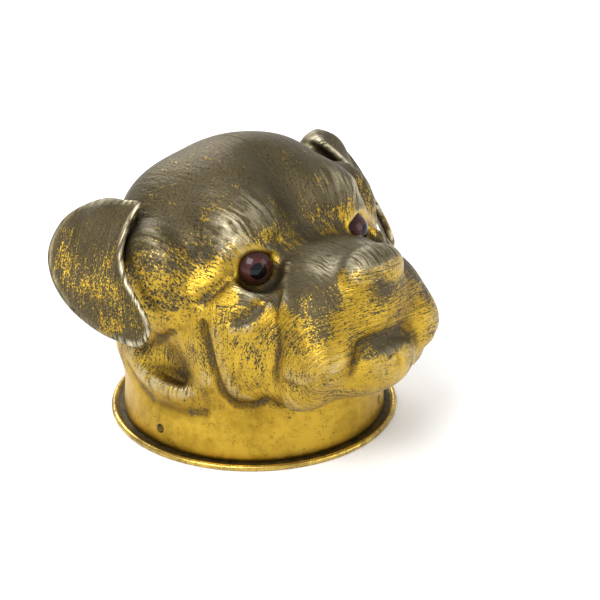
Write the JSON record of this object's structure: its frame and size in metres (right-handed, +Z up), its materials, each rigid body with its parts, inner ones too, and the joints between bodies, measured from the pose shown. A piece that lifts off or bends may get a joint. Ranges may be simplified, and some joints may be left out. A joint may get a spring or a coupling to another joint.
{
  "type": "inkwell",
  "caption": "Novelty desk inkwell: a gilt brass dog's head with glass eyes, hinged at the back of a round flanged base over a lift-out porcelain ink pot.",
  "frame": {"origin": "on the desk, under the middle of the round base plate", "axes": "+Z up; the dog looks along -Y; +X is the dog's left side"},
  "size_m": [0.1074, 0.0922, 0.0733],
  "materials": {
    "gilt_brass": "gilt pressed brass, worn, with dark patina in the fur",
    "base_brass": "spun brass, tarnished flange with a bright rolled bead",
    "plain_brass": "plain unpolished sheet brass",
    "hinge_brass": "dull drawn brass",
    "pin_steel": "darkened steel wire",
    "eye_glass": "dark red-brown glass",
    "pupil_glass": "black fused glass",
    "porcelain": "white glazed porcelain"
  },
  "bodies": {
    "base": {"base_plate": "base_brass", "locating_collar": "base_brass", "pot_gallery": "plain_brass", "gallery_rivets": "plain_brass", "hinge_base_leaf": "hinge_brass", "base_leaf_rivets": "hinge_brass", "hinge_pin": "pin_steel"},
    "pot": {"ink_pot": "porcelain"},
    "head": {"head_shell": "gilt_brass", "neck_liner": "plain_brass", "neck_rivets": "gilt_brass", "hinge_head_leaf": "hinge_brass", "head_leaf_rivets": "hinge_brass", "eye_cup_left": "plain_brass", "eye_cup_right": "plain_brass", "ear_left": "gilt_brass", "ear_right": "gilt_brass", "eye_left": "eye_glass", "eye_right": "eye_glass", "pupil_left": "pupil_glass", "pupil_right": "pupil_glass"}
  },
  "joints": [
    {"name": "head_hinge", "type": "hinge", "parent": "base", "child": "head", "pos_m": [0, 0.0369, 0.0039], "axis": [-1, 0, 0], "range_deg": [0, 65]},
    {"name": "ink_pot_lift", "type": "slide", "parent": "base", "child": "pot", "axis": [0, 0, 1], "range_m": [0, 0.02]}
  ]
}
